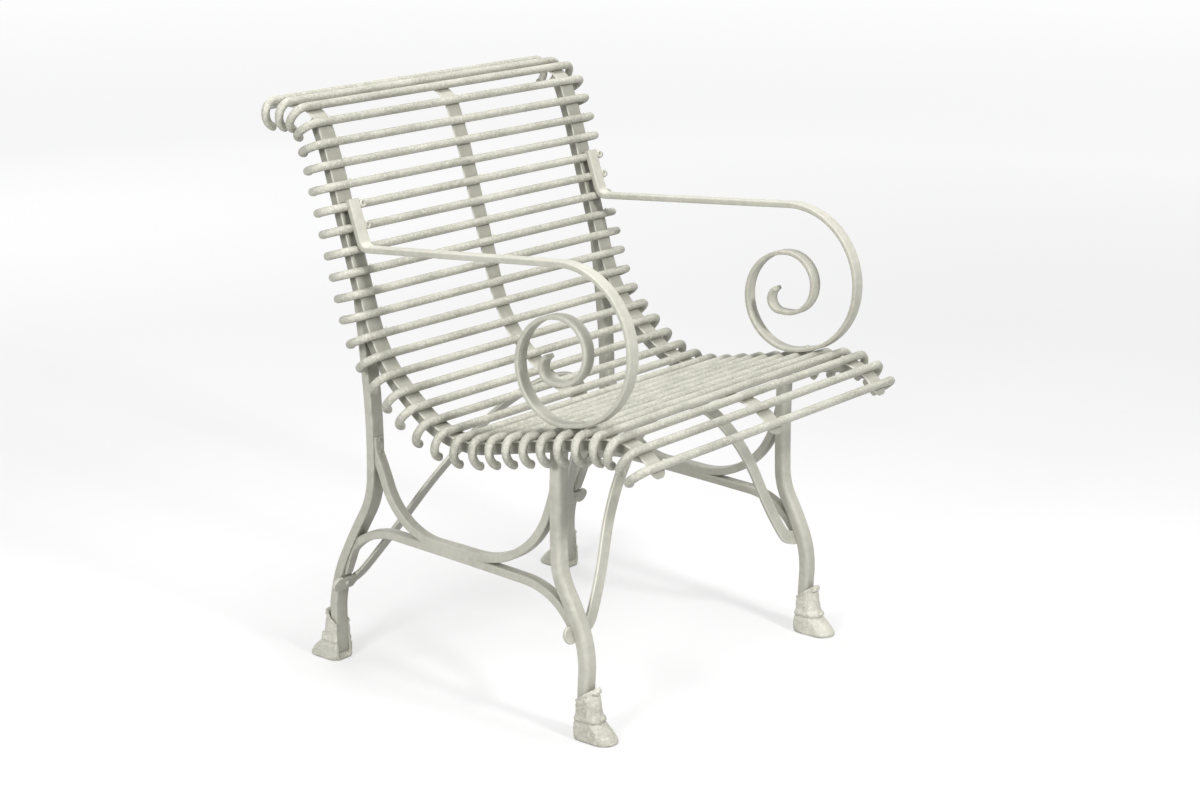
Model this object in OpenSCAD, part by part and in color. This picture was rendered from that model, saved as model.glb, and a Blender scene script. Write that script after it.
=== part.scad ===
// Wrought iron armchair: thirty-two hooked round rods on three flat strips,
// carried by two side frames with cast hooves. Millimetres, Z up, front towards -Y.

/* [Rods] */
// Diameter of each round rod
rod_d = 12; // [8:0.5:14]
// Number of rods between the back roll and the seat front
rod_count = 32; // [26:1:32]
// Spacing of the rods along the bent side profile
rod_pitch = 30.4; // [28:0.2:30.4]
// Overall width across the hooked rod ends
rod_span = 620; // [600:5:680]
// Centre-line radius of the hooked ends
hook_r = 18.5; // [15:0.5:20]
// Angle through which each rod end is hooked back
hook_turn = 165; // [120:5:170]

/* [Strips and rails] */
// Width of the three flat strips behind the rods
strip_w = 28; // [24:1:32]
// Thickness of the flat strips
strip_t = 3; // [2.5:0.5:4]
// Distance from the rod ends in to the middle of a side frame
frame_inset = 45; // [44:1:56]
// Width of the rails and legs, seen from the front
bar_w = 24; // [20:1:26]
// Depth of the rails, seen from the side
rail_t = 16; // [12:1:17]

/* [Legs and hooves] */
// Depth of the legs, seen from the side
leg_t = 16; // [15:0.5:18]
// Height of a hoof at its toe side
hoof_h = 78; // [70:1:84]
// Width of a hoof at its sole
hoof_w = 40; // [38:1:46]
// Length of a hoof from heel to toe
hoof_len = 64; // [60:1:72]
// Thickness of the flared sole under a leg
sole_t = 5; // [4:0.5:7]

/* [Braces] */
// Width of the side braces, seen from the front
brace_w = 14; // [12:1:18]
// Thickness of the side braces, seen from the side
brace_t = 9; // [8:0.5:10]
// Width of the flat arches between the legs
arch_w = 20; // [16:1:22]
// Thickness of the flat arches
arch_t = 5; // [4:0.5:6]
// Diameter of the domed rivet heads
rivet_d = 9; // [8:0.5:11]

/* [Arms] */
// Width of the flat arm bars
arm_w = 20; // [16:1:24]
// Thickness of the flat arm bars
arm_t = 6; // [5:0.5:7]
// Radius of the large front curve of an arm
arm_big_r = 110; // [106:1:112]
// Radius of the rear curve of the arm scroll
arm_mid_r = 75; // [73:1:77]
// Radius of the inner front curve of the arm scroll
arm_small_r = 45; // [43:0.5:47]

/* [Hidden] */
// Shades of the painted iron
paint = [0.70, 0.68, 0.62];
paint_light = [0.76, 0.74, 0.68];
paint_dark = [0.62, 0.60, 0.55];
// Facets of small round shapes and of bends
$fn = 48;
bend_step = 4;
hull_fn = 32;
// Gap left between pieces that are welded or riveted to each other
fit_gap = 0.1;
// Length by which a cutting shape runs past what it cuts
past = 6;

// Every bent bar follows a run: it starts at [y, z, heading] and goes on in stretches of
// [length, turn]. A heading of 180 points to the front, and a heading of 270 points down.
// Rod centres, seen from the side, from the end of the back roll to the seat front
seat_start = [375.4, 807.3, 150];
seat_run = [
    [30, 25],       // curl of the strips behind the first rod
    [47, 11.5],     // crest of the back roll
    [51, 60],       // tight front of the roll
    [73, 6.5],      // easing into the back
    [199, 0],       // straight back
    [105, -34.5],   // lumbar bend
    [38, 0],        // short flat below it
    [123, -51],     // bend into the seat
    [124, 0],       // straight seat
    [93, 3],        // rise towards the front
    [91, 62.5]      // fall of the seat front
];
first_rod_s = 30;
// The rails leave the profile before the seat front and go straight on
rail_leave = 19;
fall = seat_run[10];
rail_run = [
    for (i = [0:10]) i < 10 ? seat_run[i] : [rail_leave, fall[1] * rail_leave / fall[0]],
    [70, 0]
];
// Hooks inside the tight roll are fanned apart by turning the rods there, the first five listed
fan_turns = [0, 4, 7, -7, -4];

// Legs, from their tops down to the floor
front_leg_start = [-153.2, 405, 272];
front_leg_run = [[158, -4], [50, -29], [48, 7], [70, 28], [29, -4], [60, 0]];
back_leg_start = [209.7, 588, 262.5];
back_leg_run = [[159, 1.5], [137, 8], [61, 29], [83, -5], [73, -18], [16, -8], [80, 0]];
// Side braces, from the back leg to the front leg
upper_start = [182.3, 354, 267.5];
upper_run = [
    [12, 0], [18, -24], [41, 5.5], [129, -69], [64, 2], [98, -40], [71, -33], [30, -2], [15, -17], [9, 0]
];
lower_start = [260, 120, 102];
lower_run = [[70, 33], [92, 47], [239, 1], [47, 25], [36, 22], [16, 5]];
// Where along the upper brace its rivets sit, from its back end and from its front end
back_rivet_s = [5, 23];
front_rivet_s = [6, 27];
middle_rivet_s = 230;
// Half arches between the legs, seen square to their own tilted planes, up to the middle.
// Each starts at [height, heading] beside its foot
front_arch_run = [[22, 42], [98, 11], [156, -29], [98.5, -39]];
front_arch_start = [1.3, 15];
back_arch_run = [[21, 45], [129, 6], [156, -23], [121, -48]];
back_arch_start = [2, 20];
front_arch_tilt = 9.2;
back_arch_tilt = -30.1;
// Heights of the arch feet, in front and behind
arch_foot_z = [147, 123.3];

// Middle of the left side frame, and how far the arches are spread from their drawn width
frame_x = rod_span / 2 - frame_inset;
drawn_frame_x = 265;
arch_spread = frame_x / drawn_frame_x;
// Tabs of the arches: where they are flat from, and where their round end starts
tab_inner_x = frame_x - 14;
tab_round_x = frame_x + 6;

// Depths behind the rods at which strips and rails begin
rod_r = rod_d / 2;
strip_front = rod_r + fit_gap;
strip_back = strip_front + strip_t;
rail_front = strip_back + fit_gap;
// Where along the profile the rails begin, and where their straight noses leave it
rail_s0 = 104;
rail_s1 = 902;
nose_len = 62;
nose_band = 60;
// Where along the profile the arm tails begin
tail_s = 234;
tail_len = 61;
elbow_r = 13;
elbow_turn = 77.5;
arm_len = 341;
arm_curl_r = 18;
curl_turn = 150;
seat_touch_s = 836;
rivet_shank_d = 5;

// The middle of the overall depth lies this far behind the zero of the side profiles
last_rod = pose(seat_start, seat_run, first_rod_s + (rod_count - 1) * rod_pitch);
depth_shift = (beside(seat_start, strip_front)[0] + last_rod[0] - rod_r) / 2;

side_names = ["left", "right"];
strip_names = ["strip_left", "strip_center", "strip_right"];
slat_names = [for (i = [1:rod_count]) str("slat_", i < 10 ? "0" : "", i)];

// Pose reached after length s of one stretch
function step(p, length, turn, s) =
    let (bend = turn * s / length)
    let (chord = abs(bend) < 0.01 ? s : 2 * s * 180 / (PI * bend) * sin(bend / 2))
    [p[0] + chord * cos(p[2] + bend / 2), p[1] + chord * sin(p[2] + bend / 2), p[2] + bend];

// Pose at length s along a run
function pose(start, run, s, i = 0) =
    s <= run[i][0] || i == len(run) - 1
    ? step(start, run[i][0], run[i][1], s)
    : pose(step(start, run[i][0], run[i][1], run[i][0]), run, s - run[i][0], i + 1);

// Length of a run before its stretch number i
function before(run, i) = i == 0 ? 0 : run[i - 1][0] + before(run, i - 1);
function whole(run) = before(run, len(run));

// A pose moved to the left of its heading by d
function beside(p, d) = [p[0] - d * sin(p[2]), p[1] + d * cos(p[2]), p[2]];

// A stretch that turns by a given angle on a given radius
function bend(r, turn) = [r * turn * PI / 180, turn];

// Places children at a pose: local Y runs along the bar, local Z to the left of its heading
module at(p) {
    translate([0, p[0], p[1]]) rotate([p[2], 0, 0]) children();
}

// Moves a side profile into the frame of the whole chair
module centred() {
    translate([0, -depth_shift, 0]) children();
}

// Puts children on the left side of the chair for side 0, on the right for side 1
module on_side(side) {
    centred() translate([side == 0 ? frame_x : -frame_x, 0, 0]) mirror([side, 0, 0]) children();
}

// Lengths along a run at which its outline has a point
function stations(run, s0, s1) = concat(
    [s0],
    [
        for (i = [0:len(run) - 1])
            let (n = max(1, ceil(abs(run[i][1]) / bend_step)))
            for (k = [1:n])
                let (s = before(run, i) + run[i][0] * k / n)
                if (s > s0 + 0.5 && s < s1 - 0.5) s
    ],
    [s1]
);

// One edge of a bent bar, at depth d to the left of its run
function edge(start, run, s0, s1, d) =
    [for (s = stations(run, s0, s1)) let (p = beside(pose(start, run, s), d)) [p[0], p[1]]];

// Outline of a bent bar of thickness t whose middle lies at depth d
module bent(start, run, t, d = 0, s0 = 0, s1 = 0) {
    last = s1 == 0 ? whole(run) : s1;
    back = edge(start, run, s0, last, d + t / 2);
    polygon(concat(
        edge(start, run, s0, last, d - t / 2),
        [for (i = [len(back) - 1:-1:0]) back[i]]
    ));
}

// Flat bar of width w bent in the side plane
module bar(start, run, w, t, d = 0, s0 = 0, s1 = 0) {
    translate([-w / 2, 0, 0]) rotate([90, 0, 90]) linear_extrude(w)
        bent(start, run, t, d, s0, s1);
}

// Band that holds everything from in front of the rods back to a depth behind them
module seat_band(depth, w) {
    bar(seat_start, seat_run, w, depth + 2 * rod_d, depth / 2 - rod_d);
}

// Domed head of a rivet with its shank, standing on local Z 0 and pointing down
module rivet(shank) {
    head_h = rivet_d / 3;
    sphere_r = (pow(rivet_d / 2, 2) + pow(head_h, 2)) / (2 * head_h);
    intersection() {
        translate([0, 0, head_h - sphere_r]) sphere(sphere_r);
        cylinder(d = rivet_d, h = head_h);
    }
    translate([0, 0, -shank]) cylinder(d = rivet_shank_d, h = shank + head_h / 2);
}

// Hole for the shank of a rivet that stands on local Z 0
module rivet_hole(shank) {
    translate([0, 0, -shank - fit_gap]) cylinder(d = rivet_shank_d + 2 * fit_gap, h = shank + past);
}

// Rod number i, with both ends hooked behind the surface
module slat(i) {
    half = rod_span / 2 - hook_r - rod_r;
    fan = i < len(fan_turns) ? fan_turns[i] : 0;
    color(paint_light)
    centred() at(pose(seat_start, seat_run, first_rod_s + i * rod_pitch)) rotate([fan, 0, 0]) {
        rotate([0, 90, 0]) cylinder(d = rod_d, h = 2 * half, center = true);
        for (side = [0, 1]) mirror([side, 0, 0])
            translate([half, 0, hook_r]) rotate([90, 0, 0]) rotate(-90)
                rotate_extrude(angle = hook_turn) translate([hook_r, 0]) circle(d = rod_d);
    }
}

// Half-round end of a strip, reaching a little way back into it
module tongue(h) {
    lap = 1;
    difference() {
        cylinder(d = strip_w - 2 * fit_gap, h = h);
        translate([-strip_w, -2 * strip_w - lap, -past]) cube([2 * strip_w, 2 * strip_w, h + 2 * past]);
    }
}

// Flat strip behind the rods, ending in a round tongue under the seat front
module strip(number) {
    color(paint)
    centred() translate([(1 - number) * frame_x, 0, 0])
    difference() {
        union() {
            bar(seat_start, seat_run, strip_w, strip_t, strip_front + strip_t / 2);
            at(pose(seat_start, seat_run, whole(seat_run))) translate([0, 0, strip_front + fit_gap])
                tongue(strip_t - 2 * fit_gap);
        }
        if (number != 1) arm_bolt_hole();
    }
}

// Rail behind a side strip, with a straight nose that meets the strip again in front
module rail(side) {
    color(paint)
    on_side(side) difference() {
        bar(seat_start, rail_run, bar_w, rail_t, rail_front + rail_t / 2, rail_s0, rail_s1 + nose_len);
        bar(seat_start, seat_run, bar_w + past, nose_band, rail_front - nose_band / 2, rail_s1);
    }
}

module front_leg_bar(gap = 0) {
    bar(front_leg_start, front_leg_run, bar_w + 2 * gap, leg_t + 2 * gap);
}

module back_leg_bar(gap = 0) {
    bar(back_leg_start, back_leg_run, bar_w + 2 * gap, leg_t + 2 * gap);
}

// Everything below the top of the sole plates
module under_legs() {
    deep = 200;
    long = 1000;
    translate([-bar_w, -long / 2, -deep]) cube([2 * bar_w, long, deep + sole_t + fit_gap]);
}

// Pocket in the inner face of a leg that takes an end of the upper brace
module brace_pocket() {
    open = leg_t / 2;
    bar(upper_start, upper_run, brace_w + 2 * fit_gap, brace_t + 2 * fit_gap + open, -open / 2,
        -fit_gap, whole(upper_run) + fit_gap);
}

module front_leg(side) {
    color(paint)
    on_side(side) difference() {
        front_leg_bar();
        seat_band(rail_front + rail_t + fit_gap, bar_w + past);
        under_legs();
        brace_pocket();
        arch_rivet_at(0) rivet_hole(arch_shank);
        brace_rivets_front() rivet_hole(brace_shank);
    }
}

module back_leg(side) {
    color(paint)
    on_side(side) difference() {
        back_leg_bar();
        seat_band(rail_front + rail_t + fit_gap, bar_w + past);
        under_legs();
        brace_pocket();
        arch_rivet_at(1) rivet_hole(arch_shank);
        brace_rivets_back() rivet_hole(brace_shank);
    }
}

// Shape of a hoof's outline at one level: a round toe, straight flanks and a rounded heel
module hoof_slice(z, w, toe, heel, h = 0.5) {
    heel_r = w / 6;
    translate([0, 0, z]) linear_extrude(h) {
        translate([0, toe + w / 2]) circle(d = w, $fn = hull_fn);
        translate([-w / 2, toe + w / 2]) square([w, heel - toe - w / 2 - heel_r]);
        for (x = [-1, 1]) translate([x * (w / 2 - heel_r), heel - heel_r]) circle(heel_r, $fn = hull_fn);
        translate([heel_r - w / 2, heel - 2 * heel_r]) square([w - 2 * heel_r, 2 * heel_r]);
    }
}

// Levels of a hoof above the sole: the cast hoof, the crease, the collar and the shank
hoof_heel = 13;
hoof_toe = hoof_heel - hoof_len;
hoof_side = 3;
crease_reach = 30;
shank_reach = leg_t / 2 + 12;
hoof_levels = [
    [sole_t - 0.5, hoof_w, hoof_toe, hoof_heel],
    [13, hoof_w - 4, hoof_toe + 6, hoof_heel - 2],
    [22, bar_w + 3.4 * hoof_side, -crease_reach, hoof_heel - 2],
    [24, bar_w + 3 * hoof_side, -crease_reach + 1, hoof_heel - 3],
    [31, bar_w + 3 * hoof_side, -crease_reach + 2, hoof_heel - 3],
    [35, bar_w + 2 * hoof_side, -crease_reach + 6, hoof_heel - 4],
    [hoof_h, bar_w + 2 * hoof_side, -shank_reach, hoof_heel - 4]
];
nub_r = 6;
nub_y = -leg_t / 2 - 7;
nub_half = 8;
rim_slope = 38;

// Cast hoof round a leg whose axis is local Z, with the toe towards -Y
module hoof() {
    difference() {
        union() {
            hoof_slice(0, hoof_w, hoof_toe, hoof_heel, sole_t);
            for (i = [1:len(hoof_levels) - 1]) hull() for (v = [hoof_levels[i - 1], hoof_levels[i]])
                hoof_slice(v[0], v[1], v[2], v[3]);
            hull() for (x = [-nub_half, 0, nub_half])
                translate([x, nub_y + abs(x) / 4, hoof_h - nub_r - 1]) sphere(nub_r, $fn = hull_fn);
        }
        // Channel for the leg, open on its flat inner face
        translate([0, 0, sole_t]) linear_extrude(hoof_h)
            square([bar_w, leg_t] + 2 * [fit_gap, fit_gap], center = true);
        translate([-bar_w / 2 - fit_gap, 0, sole_t]) cube([bar_w + 2 * fit_gap, hoof_len, hoof_h]);
        // Slanted top rim
        translate([0, -leg_t, hoof_h]) rotate([-rim_slope, 0, 0])
            translate([-hoof_w, 0, 0]) cube([2 * hoof_w, hoof_len, hoof_h]);
    }
}

module hoof_front(side) {
    foot = pose(front_leg_start, front_leg_run, whole(front_leg_run));
    color(paint_light) on_side(side) translate([0, foot[0], 0]) hoof();
}

module hoof_back(side) {
    foot = pose(back_leg_start, back_leg_run, whole(back_leg_run));
    color(paint_light) on_side(side) translate([0, foot[0], 0]) rotate(180) hoof();
}

module upper_bar(gap = 0) {
    bar(upper_start, upper_run, brace_w + 2 * gap, brace_t + 2 * gap);
}

// U-shaped brace whose ends are let into the legs and riveted there
module upper_brace(side) {
    color(paint)
    on_side(side) difference() {
        upper_bar();
        brace_rivets_front() rivet_hole(brace_shank);
        brace_rivets_back() rivet_hole(brace_shank);
        middle_rivet() rivet_hole(middle_shank);
    }
}

// Low brace under the U-shaped one, its ends cut to lie along the inner faces of the legs
module lower_brace(side) {
    color(paint)
    on_side(side) difference() {
        bar(lower_start, lower_run, brace_w, brace_t);
        front_leg_bar(fit_gap);
        back_leg_bar(fit_gap);
        upper_bar(fit_gap);
        middle_rivet() rivet_hole(middle_shank);
    }
}

// Frame of an arch's tilted plane: local X across, local Y up in the plane
module arch_plane(y0, z0, tilt) {
    translate([0, y0, z0]) rotate([90 - tilt, 0, 0]) children();
}

// Pose on a leg at the height of the arch feet
front_foot_s = 264;
back_foot_s = 482;
front_foot = pose(front_leg_start, front_leg_run, front_foot_s);
back_foot = pose(back_leg_start, back_leg_run, back_foot_s);

// Children on the inner face of a leg at the arch foot, local Z away from the leg
module at_foot(which) {
    if (which == 0) at(front_foot) translate([0, 0, leg_t / 2 + fit_gap]) children();
    else at(back_foot) mirror([0, 0, 1]) translate([0, 0, leg_t / 2 + fit_gap]) children();
}

// Run of a whole arch: its half, then the same stretches back again
function arch_half(which) = which == 0 ? front_arch_run : back_arch_run;
function arch_run(which) =
    let (half = arch_half(which))
    concat(half, [for (i = [len(half) - 1:-1:0]) half[i]]);
// Start of that run, set so that its crown lies in the middle of the chair
function arch_start(which) =
    let (start = which == 0 ? front_arch_start : back_arch_start)
    let (crown = pose([0, start[0], start[1]], arch_half(which), whole(arch_half(which))))
    [-crown[0], start[0], start[1]];

// Flat arch bar up to length s1 of its run
module bent_arch(which, s1) {
    translate([0, 0, -arch_t / 2]) linear_extrude(arch_t) scale([arch_spread, 1])
        bent(arch_start(which), arch_run(which), arch_w, 0, 0, s1);
}

// Children in the tilted plane of an arch
module in_arch_plane(which) {
    foot = which == 0 ? front_foot : back_foot;
    tilt = which == 0 ? front_arch_tilt : back_arch_tilt;
    out = which == 0 ? 1 : -1;
    arch_plane(foot[0] + out * (leg_t / 2 + arch_t / 2 + 1), arch_foot_z[which], tilt) children();
}

// Riveted tab on the left leg, with the twist that leads into the arch
module arch_tab(which) {
    start = arch_start(which);
    hull() {
        in_arch_plane(which) mirror([1, 0, 0]) translate([arch_spread * start[0], start[1], 0])
            rotate(start[2]) translate([2, 0, 0]) cube([4, arch_w - fit_gap, arch_t - fit_gap], center = true);
        at_foot(which) translate([tab_inner_x + 1, 0, arch_t / 2])
            cube([2, arch_w - fit_gap, arch_t - fit_gap], center = true);
    }
    at_foot(which) {
        translate([tab_inner_x, -arch_w / 2, 0]) cube([tab_round_x - tab_inner_x, arch_w, arch_t]);
        translate([tab_round_x, 0, 0]) cylinder(d = arch_w, h = arch_t);
    }
}

// Whole arch between two legs, its crown under the middle strip
module arch(which) {
    color(paint_dark)
    centred() difference() {
        union() {
            in_arch_plane(which) bent_arch(which, whole(arch_run(which)));
            for (side = [0, 1]) mirror([side, 0, 0]) arch_tab(which);
        }
        for (side = [0, 1]) mirror([side, 0, 0])
            translate([frame_x, 0, 0]) arch_rivet_at(which) rivet_hole(arch_shank);
        seat_band(strip_back + fit_gap, strip_w + past);
    }
}

// Arm bar: a tail on the back, the arm rest and a scroll that stands on the seat
foot_len = 14;
eye_len = 12;
arm_depth = rod_r + fit_gap + arm_t / 2;
arm_start = beside(pose(seat_start, seat_run, tail_s), -arm_depth);
arm_rest_run = [
    [tail_len, 0],
    [elbow_r * elbow_turn * PI / 180, -elbow_turn],
    [arm_len, 0]
];
rest_end = pose(arm_start, arm_rest_run, whole(arm_rest_run));
seat_touch = pose(seat_start, seat_run, seat_touch_s);
front_turn = 270 - rest_end[2];
arm_nose = step(rest_end, bend(arm_big_r, front_turn)[0], front_turn, bend(arm_big_r, front_turn)[0]);
// Radius with which the front curve comes down exactly onto the rods
touch_r = ((arm_nose[0] - seat_touch[0]) * sin(seat_touch[2])
    - (arm_nose[1] - seat_touch[1]) * cos(seat_touch[2]) - arm_depth) / (1 - sin(seat_touch[2]));
touch_turn = seat_touch[2] - 90;
arm_run = concat(arm_rest_run, [
    bend(arm_big_r, front_turn),
    bend(touch_r, touch_turn),
    [foot_len, 0],
    bend(arm_mid_r, 90 - touch_turn + 90),
    bend(arm_mid_r - 5, 90),
    bend(arm_small_r, 180),
    [eye_len, 0],
    bend(arm_curl_r, curl_turn)
]);

module arm_bar() {
    bar(arm_start, arm_run, arm_w, arm_t);
}

module arm(side) {
    color(paint_light)
    on_side(side) difference() {
        arm_bar();
        arm_bolt_hole();
    }
}

// Bolt through the foot of the scroll and the strip, in the gap between two rods that lies nearest
// to the middle of the flat foot
arm_foot = pose(arm_start, arm_run, before(arm_run, 5) + foot_len / 2);
foot_s = seat_touch_s + (arm_foot[0] - seat_touch[0]) * cos(seat_touch[2])
    + (arm_foot[1] - seat_touch[1]) * sin(seat_touch[2]);
bolt_rod = round((foot_s - first_rod_s) / rod_pitch - 0.5) + 0.5;
bolt_s = first_rod_s + bolt_rod * rod_pitch;
bolt_shank = arm_t + 2 * rod_r + 2 * fit_gap + strip_t;
module arm_bolt_frame() {
    at(pose(seat_start, seat_run, bolt_s)) rotate([180, 0, 0])
        translate([0, 0, rod_r + arm_t + 2 * fit_gap]) children();
}

module arm_bolt_hole() {
    arm_bolt_frame() translate([0, 0, -bolt_shank - past])
        cylinder(d = rivet_shank_d + 2 * fit_gap, h = bolt_shank + 2 * past);
}

module arm_bolts() {
    color(paint_light)
    for (side = [0, 1]) on_side(side) arm_bolt_frame() rivet(bolt_shank);
}

// Round buttons that hold the inner edge of each arm tail to two rods
module arm_buttons() {
    button_d = 9;
    for (side = [0, 1], i = [7, 8])
        color(paint_light)
        on_side(side)
            at(beside(pose(seat_start, seat_run, first_rod_s + i * rod_pitch), -rod_r - fit_gap))
                mirror([0, 0, 1]) translate([-arm_w / 2 - button_d / 2 - fit_gap, 0, 0])
                    cylinder(d = button_d, h = arm_t - 1);
}

// Children on the upper face of the upper brace, local Z away from it
module on_brace(s) {
    at(pose(upper_start, upper_run, s)) rotate([180, 0, 0]) translate([0, 0, brace_t / 2 + fit_gap])
        children();
}

// Rivets of the upper brace in the back leg and in the front leg
brace_shank = brace_t + leg_t / 3;
module brace_rivets_back() {
    for (s = back_rivet_s) on_brace(s) children();
}

module brace_rivets_front() {
    for (s = front_rivet_s) on_brace(whole(upper_run) - s) children();
}

// Rivet that joins the two braces where they touch, its shank coming out below
middle_shank = 2 * brace_t + 3;
module middle_rivet() {
    on_brace(middle_rivet_s) children();
}

module brace_rivets() {
    color(paint_light)
    for (side = [0, 1]) on_side(side) {
        brace_rivets_back() rivet(brace_shank);
        brace_rivets_front() rivet(brace_shank);
        middle_rivet() rivet(middle_shank);
    }
}

// Rivets of the arch feet
arch_shank = arch_t + leg_t * 0.6;
module arch_rivet_at(which) {
    at_foot(which) translate([0, 0, arch_t + fit_gap]) children();
}

module arch_rivets() {
    color(paint_light)
    for (side = [0, 1], which = [0, 1]) on_side(side) arch_rivet_at(which) rivet(arch_shank);
}

for (i = [0:rod_count - 1])
    slat(i);
for (i = [0:2])
    strip(i);
for (s = [0, 1]) {
    rail(s);
    arm(s);
    front_leg(s);
    back_leg(s);
    hoof_front(s);
    hoof_back(s);
    upper_brace(s);
    lower_brace(s);
}
arch(0);  // arch_front
arch(1);  // arch_back
brace_rivets();
arch_rivets();
arm_bolts();
arm_buttons();
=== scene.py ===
"""Looks of the wrought iron armchair: bent bars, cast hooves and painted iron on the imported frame."""

import math
import random

import bpy
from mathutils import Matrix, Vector, noise


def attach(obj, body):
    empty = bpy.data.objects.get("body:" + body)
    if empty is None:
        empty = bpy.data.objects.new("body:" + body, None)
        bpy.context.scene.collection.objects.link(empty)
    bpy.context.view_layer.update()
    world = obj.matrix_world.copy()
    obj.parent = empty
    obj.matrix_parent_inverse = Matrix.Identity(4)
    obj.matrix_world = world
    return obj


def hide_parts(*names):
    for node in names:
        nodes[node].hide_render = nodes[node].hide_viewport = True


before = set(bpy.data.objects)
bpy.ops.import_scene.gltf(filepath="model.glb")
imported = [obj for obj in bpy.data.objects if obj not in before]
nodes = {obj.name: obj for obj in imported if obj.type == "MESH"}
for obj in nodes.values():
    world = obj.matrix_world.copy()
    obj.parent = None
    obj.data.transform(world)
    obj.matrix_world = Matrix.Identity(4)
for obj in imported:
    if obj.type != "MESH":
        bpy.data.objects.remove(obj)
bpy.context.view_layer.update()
random.seed(7)

# Sizes in millimetres and degrees, unless a comment says otherwise; pieces are made in metres
MM = 0.001
SHIFT = 24.115  # the side profiles' zero lies this far in front of the frame's zero
FRAME_X = 265.0  # middle of the side frames
SIDE_X = {"left": FRAME_X, "right": -FRAME_X}
STRIP_X = {"left": FRAME_X, "center": 0.0, "right": -FRAME_X}
GAP = 0.1  # between pieces that lie on each other
RING = 6.0  # spacing of the rings along a bent bar

# Bent bars as in the CAD: a start (y, z, heading) and a run of stretches (length, turn)
SEAT_START = (375.4, 807.3, 150)
SEAT_RUN = [(30, 25), (47, 11.5), (51, 60), (73, 6.5), (199, 0), (105, -34.5), (38, 0),
            (123, -51), (124, 0), (93, 3), (91, 62.5)]
FRONT_LEG = ((-153.2, 405, 272), [(158, -4), (50, -29), (48, 7), (70, 28), (29, -4), (60, 0)])
BACK_LEG = ((209.7, 588, 262.5),
            [(159, 1.5), (137, 8), (61, 29), (83, -5), (73, -18), (16, -8), (80, 0)])
UPPER_BRACE = ((182.3, 354, 267.5),
               [(12, 0), (18, -24), (41, 5.5), (129, -69), (64, 2), (98, -40), (71, -33), (30, -2),
                (15, -17), (9, 0)])
LOWER_BRACE = ((260, 120, 102), [(70, 33), (92, 47), (239, 1), (47, 25), (36, 22), (16, 5)])

# The rails leave the seat's last bend after this length, in a straight nose
RAIL_LEAVE, RAIL_NOSE = 19, 70
LAST_LENGTH, LAST_TURN = SEAT_RUN[-1]
RAIL_RUN = SEAT_RUN[:-1] + [(RAIL_LEAVE, LAST_TURN * RAIL_LEAVE / LAST_LENGTH), (RAIL_NOSE, 0)]
RAIL_FROM, RAIL_TO = 104, 964
# In front of this y, the nose is cut along this stretch of the seat's profile
NOSE_Y = -250
NOSE_FROM, NOSE_TO, NOSE_STEP = 890, 990, 2

# Rods: the first one's place along the seat's profile, their spacing, number and radius
FIRST_ROD_S, ROD_PITCH, ROD_COUNT, ROD_R = 30.0, 30.4, 32, 6.0
# Sections of the bars: widths, thicknesses and corner radii
STRIP_W, STRIP_T, STRIP_EDGE = 28.0, 3.0, 0.9
BAR_W, RAIL_T, RAIL_ROUND, RAIL_EDGE = 24.0, 16.0, 6.0, 1.4
LEG_T, LEG_ROUND, LEG_EDGE = 16.0, 6.0, 1.2
LEG_SLIM = 0.6  # narrower than the rails by this, so that no two faces coincide
BRACE_W, BRACE_T, BRACE_EDGE = 16.5, 12.5, 2.2
ARCH_W, ARCH_T, ARCH_EDGE = 20.0, 5.0, 1.3
ARM_W, ARM_T, ARM_EDGE = 20.0, 6.0, 1.6
EDGE_INSET = 1.5  # an outline's flat has a point this far from each of its ends
END_TAPER = 0.09  # how much a bar's end is drawn in, for each millimetre of softness


def step(p, length, turn, s):
    """Pose reached after length s of one stretch."""
    bend = turn * s / length
    chord = s
    if abs(bend) >= 0.01:
        chord = 2 * s * 180 / (math.pi * bend) * math.sin(math.radians(bend / 2))
    mid = math.radians(p[2] + bend / 2)
    return (p[0] + chord * math.cos(mid), p[1] + chord * math.sin(mid), p[2] + bend)


def pose(start, run, s):
    """Pose at length s along a run."""
    p = start
    for i, (length, turn) in enumerate(run):
        if s <= length or i == len(run) - 1:
            return step(p, length, turn, s)
        p = step(p, length, turn, length)
        s -= length


def whole(run):
    """Length of a run."""
    return sum(length for length, _ in run)


def beside(p, d):
    """Pose moved out of its line by d."""
    a = math.radians(p[2])
    return (p[0] - d * math.sin(a), p[1] + d * math.cos(a), p[2])


def arc(radius, turn):
    """Stretch with a bend of this radius."""
    return (radius * math.radians(abs(turn)), turn)


def spaced(s0, s1, gap=RING):
    """Lengths from s0 to s1 in equal steps of about a gap."""
    n = max(2, math.ceil((s1 - s0) / gap))
    return [s0 + (s1 - s0) * k / n for k in range(n + 1)]


def between(a, b, t):
    """Value at the share t of the way from a to b."""
    return a + (b - a) * t


def circled(count):
    """Angles of equal steps around a full turn, in radians."""
    return [2 * math.pi * k / count for k in range(count)]


# Materials

# Painted highlight: the pale colour laid on faces that look sideways
PAINTED_SIDE_HIGHLIGHT = (0.86, 0.85, 0.76)
# Painted highlight: the pale colour laid along edges
PAINTED_EDGE_HIGHLIGHT = (0.80, 0.79, 0.70)
# Painted shade: the dark colour laid where surfaces lie close together, and how far it reaches
PAINTED_SHADE = (0.27, 0.262, 0.215)
SHADE_REACH = 0.03  # metres
BROAD_SCALE, SPECK_SCALE = 14, 380
LUMP_HEIGHT, GRAIN_HEIGHT = 0.0012, 0.0004  # metres


def new_material(name):
    """A material with no nodes yet, and its node tree."""
    mat = bpy.data.materials.new(name)
    mat.use_nodes = True
    mat.node_tree.nodes.clear()
    return mat, mat.node_tree


def feed(tree, socket, value):
    """Gives a socket a number, a colour or another node's output."""
    if isinstance(value, (int, float)):
        socket.default_value = value
    elif isinstance(value, tuple):
        socket.default_value = (*value, 1)
    else:
        tree.links.new(value, socket)


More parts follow.
